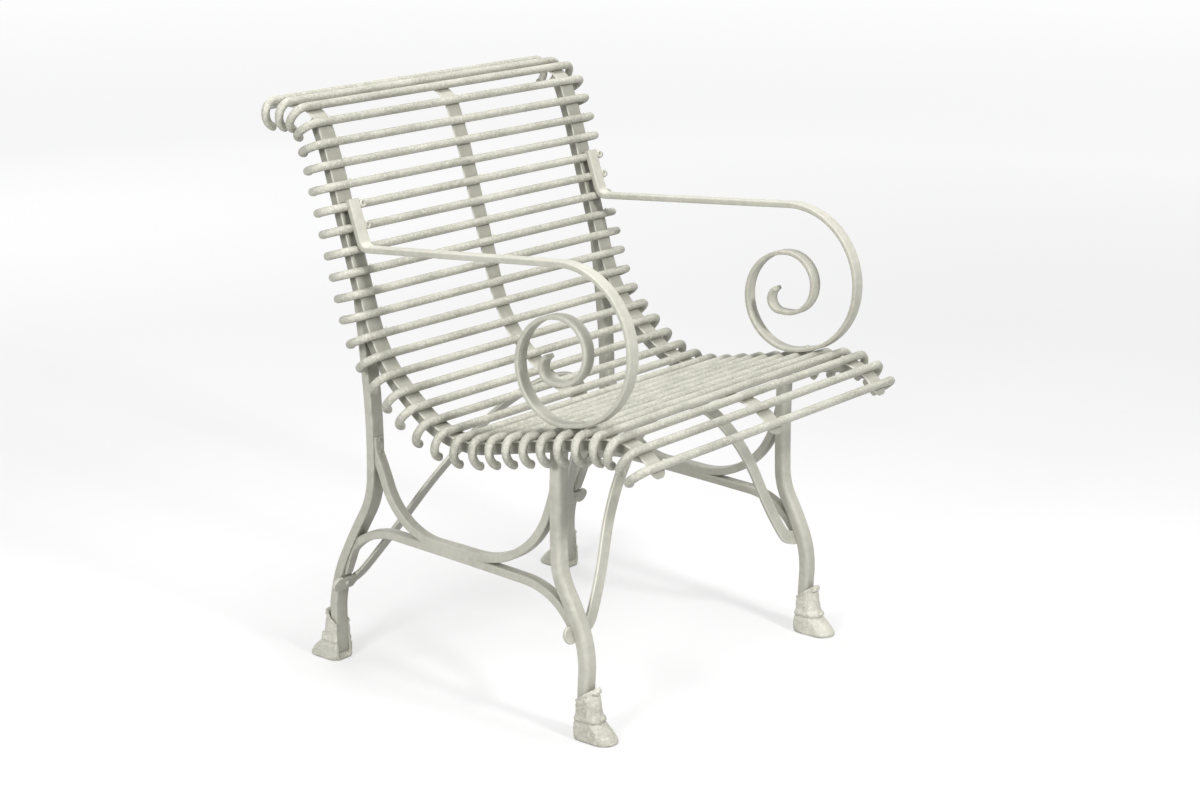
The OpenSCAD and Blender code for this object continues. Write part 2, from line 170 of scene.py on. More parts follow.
def calculated(tree, operation, a, b=None):
    """Result of a math node on one or two values."""
    m = tree.nodes.new("ShaderNodeMath")
    m.operation = operation
    feed(tree, m.inputs[0], a)
    if b is not None:
        feed(tree, m.inputs[1], b)
    return m.outputs[0]


def noise_node(tree, scale, detail, vec, roughness=0.6):
    """Even noise over a piece."""
    n = tree.nodes.new("ShaderNodeTexNoise")
    n.inputs["Scale"].default_value = scale
    n.inputs["Detail"].default_value = detail
    n.inputs["Roughness"].default_value = roughness
    tree.links.new(vec, n.inputs["Vector"])
    return n.outputs["Fac"]


def ramp(tree, fac, stops):
    """Colour ramp with a list of (place, colour)."""
    r = tree.nodes.new("ShaderNodeValToRGB")
    while len(r.color_ramp.elements) < len(stops):
        r.color_ramp.elements.new(0.5)
    for element, (at, colour) in zip(r.color_ramp.elements, stops):
        element.position = at
        element.color = (*colour, 1)
    tree.links.new(fac, r.inputs["Fac"])
    return r.outputs["Color"]


def mixed(tree, fac, a, b):
    """Colour a, turning to colour b as fac goes from 0 to 1."""
    m = tree.nodes.new("ShaderNodeMix")
    m.data_type = "RGBA"
    for key, value in (("Factor", fac), ("A", a), ("B", b)):
        feed(tree, m.inputs[key], value)
    return m.outputs["Result"]


def ramped(tree, fac, low, high, out_low, out_high):
    """A value's range from low to high, stretched to another range."""
    m = tree.nodes.new("ShaderNodeMapRange")
    m.inputs["From Min"].default_value = low
    m.inputs["From Max"].default_value = high
    m.inputs["To Min"].default_value = out_low
    m.inputs["To Max"].default_value = out_high
    tree.links.new(fac, m.inputs["Value"])
    return m.outputs["Result"]


def mottled(tree, vec, mottle, speck, base, deep, pale):
    """Broad patches of base and deep colour, mottled with pale paint and deep specks."""
    broad = noise_node(tree, BROAD_SCALE, 4, vec)
    colour = mixed(tree, ramped(tree, broad, 0.35, 0.65, 0, 1), deep, base)
    colour = mixed(tree, ramped(tree, mottle, 0.45, 0.75, 0, 0.75), colour, pale)
    return mixed(tree, ramped(tree, speck, 0.5, 0.66, 0, 0.5), colour, deep)


def painted_side_highlights(tree, coords, colour, amount):
    """Painted highlight: lighter colour on the faces that look sideways."""
    facing = tree.nodes.new("ShaderNodeSeparateXYZ")
    tree.links.new(coords.outputs["Normal"], facing.inputs[0])
    sideways = calculated(tree, "ABSOLUTE", facing.outputs["X"])
    return mixed(tree, ramped(tree, sideways, 0.5, 0.8, 0, amount), colour, PAINTED_SIDE_HIGHLIGHT)


def painted_edge_highlights(tree, colour, amount):
    """Painted highlight: lighter colour along the edges."""
    edge_pointiness = tree.nodes.new("ShaderNodeNewGeometry").outputs["Pointiness"]
    return mixed(tree, ramped(tree, edge_pointiness, 0.505, 0.55, 0, amount), colour, PAINTED_EDGE_HIGHLIGHT)


def painted_shade_in_hollows(tree, colour):
    """Painted shade: darker colour where surfaces lie close together."""
    occlusion = tree.nodes.new("ShaderNodeAmbientOcclusion")
    occlusion.inputs["Distance"].default_value = SHADE_REACH
    occlusion.samples = 6
    hollow = ramped(tree, occlusion.outputs["AO"], 0.3, 0.95, 0.42, 0)
    return mixed(tree, hollow, colour, PAINTED_SHADE)


def bumpy(tree, height, strength, distance, under=None):
    """Normal of a bumpy coat, laid over another coat where one is given."""
    b = tree.nodes.new("ShaderNodeBump")
    b.inputs["Strength"].default_value = strength
    b.inputs["Distance"].default_value = distance
    tree.links.new(height, b.inputs["Height"])
    if under is not None:
        tree.links.new(under, b.inputs["Normal"])
    return b.outputs[0]


def painted(name, base, deep, pale, lump, lump_scale, grain=0.12, roughness=0.42, edge=0.0, sides=0.0,
            mottle_scale=95):
    """Satin paint over hand-worked iron: mottled, painted shade in the hollows, lumpy and finely
    grained.
    """
    mat, tree = new_material(name)
    out = tree.nodes.new("ShaderNodeOutputMaterial")
    shader = tree.nodes.new("ShaderNodeBsdfPrincipled")
    tree.links.new(shader.outputs[0], out.inputs["Surface"])
    coords = tree.nodes.new("ShaderNodeTexCoord")
    vec = coords.outputs["Object"]
    mottle = noise_node(tree, mottle_scale, 6, vec, 0.7)
    speck = noise_node(tree, SPECK_SCALE, 3, vec, 0.7)
    colour = mottled(tree, vec, mottle, speck, base, deep, pale)
    if sides:
        colour = painted_side_highlights(tree, coords, colour, sides)
    if edge:
        colour = painted_edge_highlights(tree, colour, edge)
    tree.links.new(painted_shade_in_hollows(tree, colour), shader.inputs["Base Color"])
    sheen = ramped(tree, mottle, 0.3, 0.7, roughness - 0.08, roughness + 0.12)
    tree.links.new(sheen, shader.inputs["Roughness"])
    shader.inputs["Specular IOR Level"].default_value = 0.45
    lumps = bumpy(tree, noise_node(tree, lump_scale, 3, vec, 0.5), lump, LUMP_HEIGHT)
    tree.links.new(bumpy(tree, speck, grain, GRAIN_HEIGHT, lumps), shader.inputs["Normal"])
    return mat


# Each paint: its base, deep and pale colours, how lumpy and grained it is, and its painted highlights on
# edges and sides
PAINT = {
    "painted_rod": painted("painted_rod", (0.50, 0.493, 0.424), (0.34, 0.335, 0.28), (0.76, 0.75, 0.665),
                           lump=1.0, lump_scale=210, grain=0.7, mottle_scale=240),
    # The bars' edge setting gives them painted highlights along their edges
    "painted_bar": painted("painted_bar", (0.54, 0.532, 0.46), (0.45, 0.444, 0.378),
                           (0.63, 0.622, 0.546), lump=0.35, lump_scale=70, edge=0.8),
    # The strips' sideways faces get a painted highlight
    "painted_strip": painted("painted_strip", (0.47, 0.463, 0.398), (0.40, 0.394, 0.334),
                             (0.55, 0.542, 0.474), lump=0.35, lump_scale=70, sides=0.95),
    # The rails' paint is darker than the bars' as painted shade, for the shade of the hooks around them
    "rail_painted_shade": painted("rail_painted_shade", (0.37, 0.364, 0.31), (0.31, 0.305, 0.257),
                            (0.44, 0.433, 0.376), lump=0.35, lump_scale=70),
    # The hooves' paint is lighter than the bars' as painted light, for the light that the floor throws
    # up at them
    "cast_hoof": painted("cast_hoof", (0.70, 0.688, 0.60), (0.45, 0.44, 0.37), (0.88, 0.868, 0.77),
                         lump=1.0, lump_scale=320, grain=1.0, roughness=0.46, edge=0.45,
                         mottle_scale=210),
    # The beads' pale paint is a painted highlight, for glints on the welds
    "weld": painted("weld", (0.82, 0.81, 0.72), (0.70, 0.69, 0.61), (0.88, 0.87, 0.78),
                    lump=0.5, lump_scale=240),
    "painted_fixing": painted("painted_fixing", (0.58, 0.572, 0.50), (0.42, 0.413, 0.345),
                              (0.72, 0.71, 0.63), lump=0.5, lump_scale=240),
}


# Mesh helpers

def add_piece(name, verts, faces, slot, stands_for=(), sharp=38, paint=None):
    """Makes a piece of the object; its paint has the slot's name unless another is given."""
    mesh = bpy.data.meshes.new(name)
    mesh.from_pydata([tuple(v) for v in verts], [], faces)
    mesh.validate()
    mesh.update()
    obj = bpy.data.objects.new(name, mesh)
    bpy.context.scene.collection.objects.link(obj)
    mesh.materials.append(PAINT[paint or slot])
    mesh.shade_smooth()
    mesh.set_sharp_from_angle(angle=math.radians(sharp))
    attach(obj, "root")
    if stands_for:
        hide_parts(*stands_for)


def joined(parts):
    """Several (verts, faces) lists as one."""
    verts, faces = [], []
    for v, f in parts:
        base = len(verts)
        verts += v
        faces += [[i + base for i in face] for face in f]
    return verts, faces


def rounded(w, t, r_high, r_low, n=4):
    """Outline of a bar's section: (across, outwards), with corner radii on its two faces.

    Each flat has a point beside both of its ends, so that the painted edge highlights stay narrow.
    """
    corners = []
    for side, face, r, first in ((1, 1, r_high, 0), (-1, 1, r_high, 90), (-1, -1, r_low, 180),
                                 (1, -1, r_low, 270)):
        u, d = side * (w / 2 - r), face * (t / 2 - r)
        angles = [math.radians(first + 90 * k / n) for k in range(n + 1)]
        corners.append([(u + r * math.cos(a), d + r * math.sin(a)) for a in angles])
    points = []
    for corner, after in zip(corners, corners[1:] + corners[:1]):
        (u, d), (v, e) = corner[-1], after[0]
        part = min(0.3, EDGE_INSET / max(0.1, math.hypot(v - u, e - d)))
        points += corner + [(between(u, v, q), between(d, e, q)) for q in (part, 1 - part)]
    return points


def skin(rings):
    """Quads over a list of equal rings, with a flat cap at each end."""
    m = len(rings[0])
    verts = [p for ring in rings for p in ring]
    faces = []
    for i in range(len(rings) - 1):
        for j in range(m):
            k = (j + 1) % m
            faces.append([i * m + j, i * m + k, (i + 1) * m + k, (i + 1) * m + j])
    faces.append(list(range(m))[::-1])
    faces.append([(len(rings) - 1) * m + j for j in range(m)])
    return verts, faces


def ring_at(x, p, outline, depth=0.0, scale=1.0, narrow=1.0):
    """Outline as a ring at a pose, moved out by depth, scaled, and narrowed across."""
    a = math.radians(p[2])
    ring = []
    for u, d in outline:
        out = depth + d * scale
        ring.append(Vector((x + u * scale * narrow, p[0] - out * math.sin(a) - SHIFT,
                            p[1] + out * math.cos(a))) * MM)
    return ring


def bar_rings(start, run, stops, x, outline, depth=0.0, width=None, soft=0.7):
    """Rings of a bar that follows a run; width(s) may narrow it, and soft rounds its two ends."""
    end_scale = 1 - soft * END_TAPER
    plan = [(stops[0], end_scale), (stops[0] + soft, 1.0)]
    plan += [(s, 1.0) for s in stops[1:-1]]
    plan += [(stops[-1] - soft, 1.0), (stops[-1], end_scale)]
    rings = []
    for s, scale in plan:
        narrow = width(s) if width else 1.0
        rings.append(ring_at(x, pose(start, run, s), outline, depth, scale, narrow))
    return rings


def bar(name, node, bent, stops, x, outline):
    """A piece that is one bent bar of even section."""
    start, run = bent
    verts, faces = skin(bar_rings(start, run, stops, x, outline))
    add_piece(name, verts, faces, "painted_bar", (node,))


def blob(centre, radii, uneven, seed, rings=6, around=10):
    """A small irregular bead of weld or a lump of casting."""
    verts, faces = [], []
    for i in range(rings + 1):
        t = math.pi * i / rings
        for a in circled(around):
            d = Vector((math.sin(t) * math.cos(a), math.sin(t) * math.sin(a), math.cos(t)))
            k = 1 + uneven * noise.noise(d * 2.3 + Vector((seed, seed * 1.7, 0)))
            verts.append(centre + Vector((d.x * radii[0], d.y * radii[1], d.z * radii[2])) * k)
    for i in range(rings):
        for j in range(around):
            k = (j + 1) % around
            faces.append([i * around + j, (i + 1) * around + j, (i + 1) * around + k, i * around + k])
    return verts, faces


# Strips, rails, legs and braces

def build_strips():
    """Flat strips behind the rods, each with a round tongue at the seat front."""
    total = whole(SEAT_RUN)
    tip = STRIP_W / 2

    def tongue(s):
        past = s - total
        return 1.0 if past <= 0 else math.sqrt(max(0.0, 1 - (past / tip) ** 2))

    stops = spaced(0, total) + [total + tip * math.sin(math.radians(a)) for a in range(8, 88, 8)]
    outline = rounded(STRIP_W, STRIP_T, STRIP_EDGE, STRIP_EDGE, 2)
    depth = ROD_R + GAP + STRIP_T / 2
    for side, x in STRIP_X.items():
        verts, faces = skin(bar_rings(SEAT_START, SEAT_RUN, stops, x, outline, depth, tongue, 0.3))
        add_piece("flat_strip_" + side, verts, faces, "painted_bar", ("strip_" + side,),
                  paint="painted_strip")


NOSE_POSES = [pose(SEAT_START, SEAT_RUN, s) for s in spaced(NOSE_FROM, NOSE_TO, NOSE_STEP)]


def onto_strip(v, depth):
    """Keeps a rail's point at least this deep behind the rods near the seat front."""
    y, z = v.y / MM + SHIFT, v.z / MM
    if y > NOSE_Y:
        return v
    near = min(NOSE_POSES, key=lambda p: (p[0] - y) ** 2 + (p[1] - z) ** 2)
    a = math.radians(near[2])
    off = -(y - near[0]) * math.sin(a) + (z - near[1]) * math.cos(a)
    lift = max(0.0, depth - off)
    return Vector((v.x, v.y - lift * math.sin(a) * MM, v.z + lift * math.cos(a) * MM))


def build_rails():
    """Bent side bars behind the outer strips; their straight noses are cut along the strips."""
    front = ROD_R + 2 * GAP + STRIP_T
    outline = rounded(BAR_W, RAIL_T, RAIL_ROUND, RAIL_EDGE)
    stops = spaced(RAIL_FROM, RAIL_TO)
    for side, x in SIDE_X.items():
        verts, faces = skin(bar_rings(SEAT_START, RAIL_RUN, stops, x, outline, front + RAIL_T / 2))
        verts = [onto_strip(v, front) for v in verts]
        # Their paint is darker, as painted shade
        add_piece("side_rail_" + side, verts, faces, "painted_bar", ("rail_" + side,),
                  paint="rail_painted_shade")


def build_legs():
    """Legs with their round side out; each runs from under the seat into its hoof's channel."""
    width = BAR_W - LEG_SLIM
    kinds = (
        # name, bar, length left off above and below, outline
        ("front", FRONT_LEG, 6, 15.1, rounded(width, LEG_T, LEG_EDGE, LEG_ROUND)),
        ("back", BACK_LEG, 20, 12.3, rounded(width, LEG_T, LEG_ROUND, LEG_EDGE)),
    )
    for side, x in SIDE_X.items():
        for which, leg, above, below, outline in kinds:
            stops = spaced(above, whole(leg[1]) - below)
            bar(f"{which}_leg_{side}", f"leg_{which}_{side}", leg, stops, x, outline)


# The lower brace's tail: its tip (y, z, heading), the tip's share of the brace's width and thickness,
# and the lengths along the brace where the tail ends and the bar starts
TAIL_TIP = (242.0, 136.0, 88.0)
TIP_WIDE, TIP_THICK = 0.8, 0.3
TAIL_END_S, BRACE_FROM_S = 62, 66
TAIL_RINGS, TAIL_EDGE = 7, 1.0


def brace_tail(start, run, x):
    """Rings of the lower brace's drawn-out tail, which lies on the back leg's face."""
    end = pose(start, run, TAIL_END_S)
    rings = []
    for k in range(TAIL_RINGS):
        t = k / TAIL_RINGS
        width, thickness = BRACE_W * between(TIP_WIDE, 1, t), BRACE_T * between(TIP_THICK, 1, t)
        outline = rounded(width, thickness, TAIL_EDGE, TAIL_EDGE)
        p = [between(TAIL_TIP[i], end[i], t) for i in range(3)]
        rings.append(ring_at(x, p, outline))
    return rings


def build_braces():
    """The U-shaped brace of each side, and the lower brace with its tail."""
    outline = rounded(BRACE_W, BRACE_T, BRACE_EDGE, BRACE_EDGE)
    for side, x in SIDE_X.items():
        bar("u_brace_" + side, "brace_upper_" + side, UPPER_BRACE, spaced(0, whole(UPPER_BRACE[1])), x,
            outline)
        start, run = LOWER_BRACE
        rings = bar_rings(start, run, spaced(BRACE_FROM_S, whole(run)), x, outline)
        verts, faces = skin(brace_tail(start, run, x) + rings)
        add_piece("low_brace_" + side, verts, faces, "painted_bar", ("brace_lower_" + side,))


# Arms, with places along the seat's profile where the tail starts and the scroll touches
ARM_TAIL_S, ARM_TOUCH_S = 234, 836
ARM_TAIL, ARM_LEN = 61, 341
ELBOW_R, ELBOW_TURN = 13, 77.5
FRONT_CURVE_R = 110
SCROLL_FLAT = 14  # straight stretch on the rods
SCROLL = [arc(70, 90), arc(45, 180), (12, 0), arc(18, 150)]
SCROLL_OUTER_R = 75
# The arm's two faces, from its line: at the tail's tip, along the rest, and in the scroll
TIP_FACES, REST_FACES, SCROLL_FACES = (-1.6, 7.4), (-4.2, 4.2), (-3.1, 3.1)
THINNING = 90  # length over which the rest thins to the scroll


def arm_path():
    """Start, straight stretches and curved stretches of the arm, worked out as in the CAD."""
    depth = ROD_R + GAP + ARM_T / 2
    start = beside(pose(SEAT_START, SEAT_RUN, ARM_TAIL_S), -depth)
    straight = [(ARM_TAIL, 0), arc(ELBOW_R, -ELBOW_TURN), (ARM_LEN, 0)]
    end = pose(start, straight, whole(straight))
    front = 270 - end[2]
    big = arc(FRONT_CURVE_R, front)
    nose = step(end, big[0], front, big[0])
    touch = pose(SEAT_START, SEAT_RUN, ARM_TOUCH_S)
    a = math.radians(touch[2])
    reach = (nose[0] - touch[0]) * math.sin(a) - (nose[1] - touch[1]) * math.cos(a) - depth
    turn = touch[2] - 90
    under = [arc(reach / (1 - math.sin(a)), turn), (SCROLL_FLAT, 0), arc(SCROLL_OUTER_R, 180 - turn)]
    return start, straight, [big] + under + SCROLL


def arm_faces(s, straight_end):
    """Distances of the arm's two faces from its line: let in at the tail, stout, then drawn out."""
    if s < ARM_TAIL:
        ends, t = (TIP_FACES, REST_FACES), s / ARM_TAIL
    else:
        ends, t = (REST_FACES, SCROLL_FACES), min(1.0, max(0.0, (s - straight_end) / THINNING))
    return [between(a, b, t) for a, b in zip(*ends)]


def build_arms():
    """Flat arm bars, from the tail on the back's rods to the curl of the scroll."""
    start, straight, curved = arm_path()
    run = straight + curved
    for side, x in SIDE_X.items():
        rings = []
        for s in spaced(0, whole(run)):
            front, back = arm_faces(s, whole(straight))
            outline = rounded(ARM_W, back - front, ARM_EDGE, ARM_EDGE, 3)
            rings.append(ring_at(x, pose(start, run, s), outline, (front + back) / 2))
        verts, faces = skin(rings)
        add_piece("arm_bar_" + side, verts, faces, "painted_bar", ("arm_" + side,))


# Buttons on the two rods that each arm's tail crosses: profile (radius, height)
BUTTON_RODS = (7, 8)
BUTTON = [(0.01, 4.2), (1.6, 4.0), (2.4, 5.6), (3.6, 6.8), (5.0, 6.4), (6.0, 4.6), (6.2, 0.6)]
BUTTON_ASIDE, BUTTON_SINK, BUTTON_POINTS = 4.6, 0.4, 20


def button(x, rod):
    """A ring-shaped button on the front of a rod."""
    p = beside(pose(SEAT_START, SEAT_RUN, FIRST_ROD_S + rod * ROD_PITCH), BUTTON_SINK - ROD_R)
    a = math.radians(p[2])
    up = Vector((0, math.sin(a), -math.cos(a)))
    along = Vector((0, math.cos(a), math.sin(a)))
    across = Vector((1, 0, 0))
    centre = Vector((x, p[0] - SHIFT, p[1]))
    rings = []
    for r, h in BUTTON:
        rings.append([(centre + up * h + (across * math.cos(t) + along * math.sin(t)) * r) * MM
                      for t in circled(BUTTON_POINTS)])
    return skin(rings)


def build_buttons():
    """Ring-shaped weld buttons that hold the arm tails to two rods."""
    parts = [button(x + ARM_W / 2 + BUTTON_ASIDE, rod) for x in SIDE_X.values() for rod in BUTTON_RODS]
    verts, faces = joined(parts)
    add_piece("weld_buttons", verts, faces, "painted_fixing", ("arm_buttons",), 70)


# Beads of weld on the strips' two edges: edge, place along the profile, depth behind the rod's middle
BEADS = ((-1, 0.0, ROD_R - 0.8), (1, -4.6, 1.2))
BEAD_ASIDE, BEAD_JITTER, BEAD_SIZES = 0.6, 0.8, (2.3, 3.1)


def build_welds():
    """Beads of weld on both edges of each strip where it crosses a rod."""
    for k, (side, strip_x) in enumerate(STRIP_X.items()):
        parts = []
        for i in range(ROD_COUNT):
            for edge, along, depth in BEADS:
                p = beside(pose(SEAT_START, SEAT_RUN, FIRST_ROD_S + i * ROD_PITCH + along), depth)
                jitter = random.uniform(-BEAD_JITTER, BEAD_JITTER)
                x = strip_x + edge * (STRIP_W / 2 + BEAD_ASIDE)
                centre = Vector((x, p[0] - SHIFT + jitter, p[1] + jitter * 0.5))
                size = random.uniform(*BEAD_SIZES)
                verts, faces = blob(centre, (size * 0.8, size, size), 0.3, i * 1.3 + k + edge)
                parts.append(([v * MM for v in verts], faces))
        verts, faces = joined(parts)
        # Pale paint: painted glints on the beads
        add_piece("weld_beads_" + side, verts, faces, "painted_fixing", (), 80, "weld")


# Arches: half a run from (height, heading) to the crown, the plane's tilt, and the foot on a leg
ARCHES = {
    "front": {"start": (1.3, 15), "half": [(22, 42), (98, 11), (156, -29), (98.5, -39)], "tilt": 9.2,
              "leg": FRONT_LEG, "leg_s": 264, "foot_z": 147.0, "face": 1},
    "back": {"start": (2.0, 20), "half": [(21, 45), (129, 6), (156, -23), (121, -48)], "tilt": -30.1,
             "leg": BACK_LEG, "leg_s": 482, "foot_z": 123.3, "face": -1},
}
ARCH_CLEAR = 1  # between the leg and the arch's own plane
ARCH_STEP = 5
# Round end of the flat tab: its middle, radius and angles, its neck's share of the arch's width, and
# the places where the tab has the arch's full width
TAB_X, TAB_R = 279.5, 12.0
TAB_ANGLES = (6, 138)
TAB_RINGS, NECK_RINGS, NECK_WIDE = 15, 5, 0.92
TAB_FULL = (258, 252)
TWIST_RINGS = 5


def arch_frames(arch):
    """Frames (centre, across, out) of an arch from beside its left tab to its crown."""
    foot = pose(*arch["leg"], arch["leg_s"])
    h0, head0 = arch["start"]
    half = arch["half"]
    tilt = math.radians(arch["tilt"])
    up = Vector((0, math.sin(tilt), math.cos(tilt)))
    out = Vector((0, math.cos(tilt), -math.sin(tilt)))
    aside = arch["face"] * (LEG_T / 2 + ARCH_T / 2 + ARCH_CLEAR)
    base = Vector((0, foot[0] - SHIFT + aside, arch["foot_z"]))
    crown = pose((0.0, h0, head0), half, whole(half))
    frames = []
    for s in spaced(2, whole(half), ARCH_STEP):
        p = pose((-crown[0], h0, head0), half, s)
        a = math.radians(p[2])
        centre = base + Vector((-p[0], 0, 0)) + up * p[1]
        frames.append((centre, Vector((math.sin(a), 0, 0)) + up * math.cos(a), out))
    return frames


def tab_frames(arch):
    """Frames of the flat left tab, from its round end inwards."""
    foot = pose(*arch["leg"], arch["leg_s"])
    a = math.radians(foot[2])
    off_leg = Vector((0, -math.sin(a), math.cos(a))) * arch["face"]
    along = Vector((0, -math.cos(a), -math.sin(a)))
    seat = Vector((0, foot[0] - SHIFT, foot[1])) + off_leg * (LEG_T / 2 + GAP + ARCH_T / 2)
    out = off_leg * arch["face"]
    frames = []
    for k in range(TAB_RINGS):
        turned = math.radians(between(*TAB_ANGLES, k / (TAB_RINGS - 1)))
        reach, half = TAB_R * math.cos(turned), TAB_R * math.sin(turned)
        wide = half / (ARCH_W / 2)
        if k >= TAB_RINGS - NECK_RINGS:
            wide = max(wide, NECK_WIDE)
        frames.append((seat + Vector((TAB_X + reach, 0, 0)), along * wide, out))
    return frames + [(seat + Vector((x, 0, 0)), along, out) for x in TAB_FULL]


def twist_frames(last, first):
    """Frames that lead from one frame to another with a smooth twist."""
    frames = []
    for k in range(1, TWIST_RINGS + 1):
        t = k / (TWIST_RINGS + 1)
        ease = t * t * (3 - 2 * t)
        across = last[1].lerp(first[1], ease).normalized()
        out = last[2].lerp(first[2], ease)
        out = (out - across * out.dot(across)).normalized()
        frames.append((last[0].lerp(first[0], t), across, out))
    return frames


def build_arches():
    """Arches between the legs; the right half mirrors the left one."""
    outline = rounded(ARCH_W, ARCH_T, ARCH_EDGE, ARCH_EDGE, 3)
    for which, arch in ARCHES.items():
        tab, frames = tab_frames(arch), arch_frames(arch)
        rings = []
        for centre, across, out in tab + twist_frames(tab[-1], frames[0]) + frames:
            rings.append([(centre + across * u + out * d) * MM for u, d in outline])
        mirror = [[Vector((-v.x, v.y, v.z)) for v in ring] for ring in rings[-2::-1]]
        verts, faces = skin(rings + mirror)
        add_piece("arch_bar_" + which, verts, faces, "painted_bar", ("arch_" + which,))


# Hooves: u across, v towards the toe and z up from the sole, with the leg's channel behind

HOOF_LEVELS = [
    # height, half width, toe, heel, channel, bulge, corner
    (0.0, 18.4, 47.4, 11.8, 11.2, 0.0, 14.0),
    (0.9, 19.6, 48.9, 12.9, 12.3, 0.0, 14.0),
    (3.4, 19.8, 49.2, 13.0, 12.4, 0.0, 14.0),
    (5.2, 19.2, 48.2, 12.4, 7.8, 0.0, 9.0),
    (7.5, 18.7, 46.6, 11.9, 7.4, 0.0, 7.0),
    (11.0, 18.2, 44.0, 11.5, 7.4, 0.0, 5.0),
    (15.0, 17.7, 40.4, 11.2, 7.4, 0.0, 3.5),
    (19.0, 17.2, 36.0, 11.0, 7.4, 0.0, 3.0),
    (23.0, 16.9, 31.6, 10.8, 7.4, 0.0, 2.6),
    (26.0, 16.0, 28.0, 10.2, 7.4, -0.6, 2.4),
    (27.6, 16.3, 28.2, 10.0, 7.4, 0.36, 2.4),
    (29.6, 16.7, 28.9, 9.9, 7.4, 0.6, 2.4),
    (32.0, 16.5, 28.2, 9.8, 7.4, 0.54, 2.4),
    (34.0, 15.7, 25.8, 9.6, 7.4, 0.12, 2.4),
    (37.0, 15.3, 24.0, 9.3, 7.4, 0.0, 2.4),
]
CHANNEL_U, CHANNEL_V, SHAFT_CORNER = BAR_W / 2 + 0.1, 7.4, 2.4
CREASE_FROM, CREASE_TO, CREASE_WAVE = 20, 33, 0.6
RIM_HALF_W, RIM_TOE, RIM_HEEL, SHAFT_RINGS = 15.0, 17.4, 9.1, 14
RIM_TOP, RIM_FLAT_V = 74.0, 15
RIM_SLOPE = math.tan(math.radians(36))
# Behind the rim: the inner outline (half width, toe, heel, channel's v and u, corner) and the hollow
INNER_RIM = (13.4, 13.6, 8.6, CHANNEL_V, 11.9, 1.6)
INNER_DROP, HOLLOW_DEPTH, HOLLOW_TOE, HOLLOW_SHRINK = 0.6, 11.0, 12.6, 0.97
# Lumps of the casting: centre, radii, unevenness, seed, rings and points around
LUMPS = [((0, 16.6, 69.0), (9.0, 4.4, 5.6), 0.35, 0, 10, 16),
         ((0, 27.4, 32.0), (6.5, 3.4, 3.4), 0.4, 3, 8, 14)]
# Bumps on both flanks: place (v, z), radii, and the sign that the flank's u has in the seed
FLANK_U = 15.0
FLANK_BUMPS = [((6.0, 44.0), (1.5, 2.4, 2.6), 1), ((-4.0, 34.0), (1.4, 3.4, 1.8), -1)]
TOE_STEPS, FLANK_STEPS = 32, 8


def hoof_ring(half_w, toe, heel, channel_v, channel_u, corner):
    """Outline of a hoof at one level: a round toe, straight flanks, and the leg's channel behind."""
    reach = toe - half_w
    points = []
    for k in range(TOE_STEPS + 1):
        a = math.radians(180 * k / TOE_STEPS)
        points.append((half_w * math.cos(a), reach + half_w * math.sin(a)))
    flank_end = -heel + corner
    left = [(-half_w, between(reach, flank_end, k / FLANK_STEPS)) for k in range(1, FLANK_STEPS + 1)]
    for a in (22, 45, 68, 90):
        t = math.radians(a)
        left.append((-half_w + corner * 0.8 * (1 - math.cos(t)), flank_end - corner * math.sin(t)))
    inner = min(channel_u, half_w - 0.8 * corner - 0.4)
    left += [(-inner, -heel + 0.4), (-inner, -channel_v), (-inner / 3, -channel_v)]
    return points + left + [(-u, v) for u, v in reversed(left)]


def unevenness(p, seed):
    """How far a cast surface stands out at a point."""
    q = Vector(p) * 0.11 + Vector((seed, 0, 0))
    return 0.5 * (noise.noise(q) + 0.7 * noise.noise(q * 2.7) + 0.45 * noise.noise(q * 6.1))


def cast_ring(points, seed, bulge):
    """Ring of the hoof's cast surface: bulged and uneven outside, plain in the channel and the sole."""
    ring = []
    for k, (u, v, z) in enumerate(points):
        a, b = points[k - 1], points[(k + 1) % len(points)]
        n = Vector((b[1] - a[1], a[0] - b[0], 0))
        n = n.normalized() if n.length > 1e-6 else Vector((0, 0, 0))
        outside = v > -CHANNEL_V + 0.4 or abs(u) > CHANNEL_U + 0.5
        push = bulge + unevenness((u, v, z), seed) if outside and z > 2 else 0.0
        ring.append(Vector((u + n.x * push, v + n.y * push, z)))
    return ring


def rim_height(v):
    """Height of the slanted top rim at a distance v towards the toe."""
    return RIM_TOP - max(0.0, RIM_FLAT_V - v) * RIM_SLOPE


def shoe_rings(seed):
    """Rings from the sole up to the collar, with a wavy crease."""
    rings = []
    for z, half_w, toe, heel, channel_v, bulge, corner in HOOF_LEVELS:
        wave = CREASE_WAVE if CREASE_FROM < z < CREASE_TO else 0.0
        outline = hoof_ring(half_w, toe, heel, channel_v, CHANNEL_U, corner)
        points = [(u, v, z + wave * math.sin(v * 0.5 + u * 0.31 + seed)) for u, v in outline]
        rings.append(cast_ring(points, seed, bulge))
    return rings


def shaft_rings(seed):
    """Rings from the collar up to the slanted rim, which has a groove and a lip under it."""
    low_z, low_half_w, low_toe, low_heel = HOOF_LEVELS[-1][:4]
    rings = []
    for k in range(1, SHAFT_RINGS + 1):
        t = k / SHAFT_RINGS
        half_w = between(low_half_w, RIM_HALF_W, t)
        toe = between(low_toe, RIM_TOE, t ** 0.9)
        heel = between(low_heel, RIM_HEEL, t)
        lip = 0.9 * math.exp(-((t - 0.93) / 0.07) ** 2)
        groove = math.exp(-((t - 0.76) / 0.045) ** 2)
        outline = hoof_ring(half_w, toe, heel, CHANNEL_V, CHANNEL_U, SHAFT_CORNER)
        points = [(u, v, between(low_z, rim_height(v), t)) for u, v in outline]
        rings.append(cast_ring(points, seed, lip - groove))
    return rings


